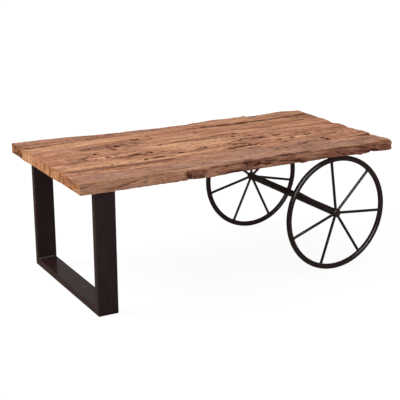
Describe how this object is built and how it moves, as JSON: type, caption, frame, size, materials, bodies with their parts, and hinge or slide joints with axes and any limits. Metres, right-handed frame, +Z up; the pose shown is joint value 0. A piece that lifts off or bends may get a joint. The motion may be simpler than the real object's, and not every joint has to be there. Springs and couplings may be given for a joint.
{
  "type": "coffee table",
  "caption": "Coffee table with a weathered plank top, a black steel frame leg at one end and fixed spoked wheels on an axle at the other.",
  "frame": {"origin": "on the floor under the middle of the top, the centre of the bounding box's bottom", "axes": "+X along the length, from the frame leg to the wheels; +Y across, away from the side that the picture shows; +Z up"},
  "size_m": [1.214, 0.634, 0.458],
  "materials": {
    "old_wood": "old sawn planks, brushed and waxed, matt",
    "dowel_wood": "plain hardwood",
    "black_steel": "black-brown satin lacquer",
    "screw_steel": "dull zinc plating"
  },
  "bodies": {
    "root": {"axle": "black_steel", "hub_far": "black_steel", "hub_near": "black_steel", "leg_corner_welds": "black_steel", "leg_floor_bar": "black_steel", "leg_plate_screws": "screw_steel", "leg_top_plate": "black_steel", "leg_upright_far": "black_steel", "leg_upright_near": "black_steel", "plank_1": "old_wood", "plank_2": "old_wood", "plank_3": "old_wood", "plank_4": "old_wood", "plank_5": "old_wood", "plank_6": "old_wood", "plank_7": "old_wood", "plank_dowels": "dowel_wood", "rim_far": "black_steel", "rim_near": "black_steel", "spoke_far_1": "black_steel", "spoke_far_2": "black_steel", "spoke_far_3": "black_steel", "spoke_far_4": "black_steel", "spoke_far_5": "black_steel", "spoke_far_6": "black_steel", "spoke_far_7": "black_steel", "spoke_near_1": "black_steel", "spoke_near_2": "black_steel", "spoke_near_3": "black_steel", "spoke_near_4": "black_steel", "spoke_near_5": "black_steel", "spoke_near_6": "black_steel", "spoke_near_7": "black_steel", "wheel_plate_far": "black_steel", "wheel_plate_near": "black_steel", "wheel_plate_screws": "screw_steel"}
  },
  "joints": []
}
